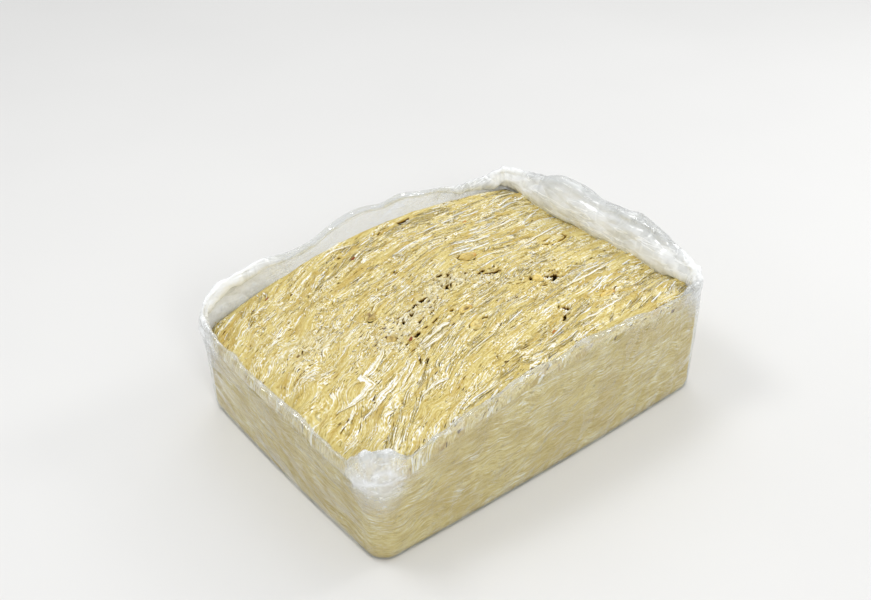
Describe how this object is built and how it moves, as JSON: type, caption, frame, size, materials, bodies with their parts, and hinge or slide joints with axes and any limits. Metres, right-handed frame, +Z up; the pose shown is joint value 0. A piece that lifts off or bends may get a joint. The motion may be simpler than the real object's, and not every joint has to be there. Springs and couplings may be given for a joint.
{
  "type": "sunflower halva slab",
  "caption": "Rectangular slab of fibrous sunflower halva with a cracked, domed top and nuts set in it, standing in a clear film liner with a crumpled collar. A sweet to slice.",
  "frame": {"origin": "under the middle of the part, on the flat base of its film", "axes": "+X along the slab's length, +Y along its width, +Z up through its top"},
  "size_m": [0.3808, 0.2836, 0.1427],
  "materials": {
    "halva": "pale straw, fibrous and flaky, slightly oily",
    "film": "clear thin film, milky where it is crumpled",
    "nut_amber": "amber roasted nut",
    "nut_pale": "pale yellow nut",
    "nut_dull": "dull brown nut, partly coated with halva"
  },
  "bodies": {
    "root": {"halva_slab": "halva", "film_liner": "film", "nut_amber": "nut_amber", "nut_ring": "nut_amber", "nut_yellow": "nut_pale", "nut_grey": "nut_dull", "nut_pale": "nut_pale", "nut_sunk": "nut_dull", "nut_brown": "nut_dull"}
  },
  "joints": []
}
